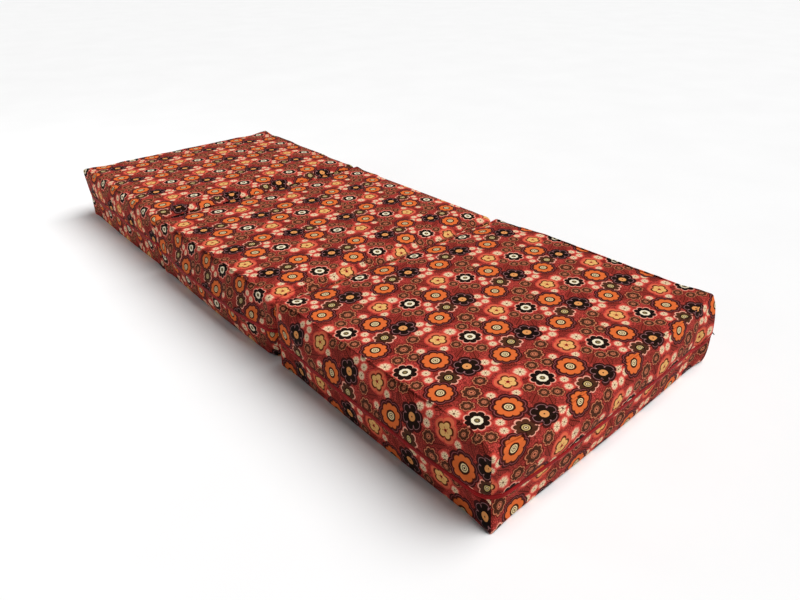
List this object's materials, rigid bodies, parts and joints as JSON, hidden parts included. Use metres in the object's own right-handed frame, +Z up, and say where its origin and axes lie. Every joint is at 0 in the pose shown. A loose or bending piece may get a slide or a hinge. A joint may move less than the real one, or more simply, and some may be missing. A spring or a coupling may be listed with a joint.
{
  "type": "folding mattress",
  "caption": "Guest mattress of foam blocks in zipped floral covers, hinged by sewn fold seams, lying open in a row.",
  "frame": {"origin": "middle of the underside, at the centre of the whole object's box", "axes": "+X runs along the row of blocks towards the near end, +Y across it towards the slider's side, +Z up"},
  "size_m": [1.9902, 0.7444, 0.17],
  "materials": {
    "cover_cloth": "woven cotton with a small all-over flower print on red",
    "zip_tape": "dark red zip tape with moulded teeth",
    "slider_metal": "plain plated slider",
    "pull_metal": "dark coated tab"
  },
  "bodies": {
    "root": {"far_base_cover": "cover_cloth", "far_zip": "zip_tape", "far_top_cover": "cover_cloth", "middle_base_cover": "cover_cloth", "middle_zip": "zip_tape", "middle_top_cover": "cover_cloth", "near_base_cover": "cover_cloth", "near_zip": "zip_tape", "near_top_cover": "cover_cloth", "low_fold_seam": "cover_cloth", "high_fold_seam": "cover_cloth", "zip_slider": "slider_metal", "zip_pull": "pull_metal"}
  },
  "joints": []
}
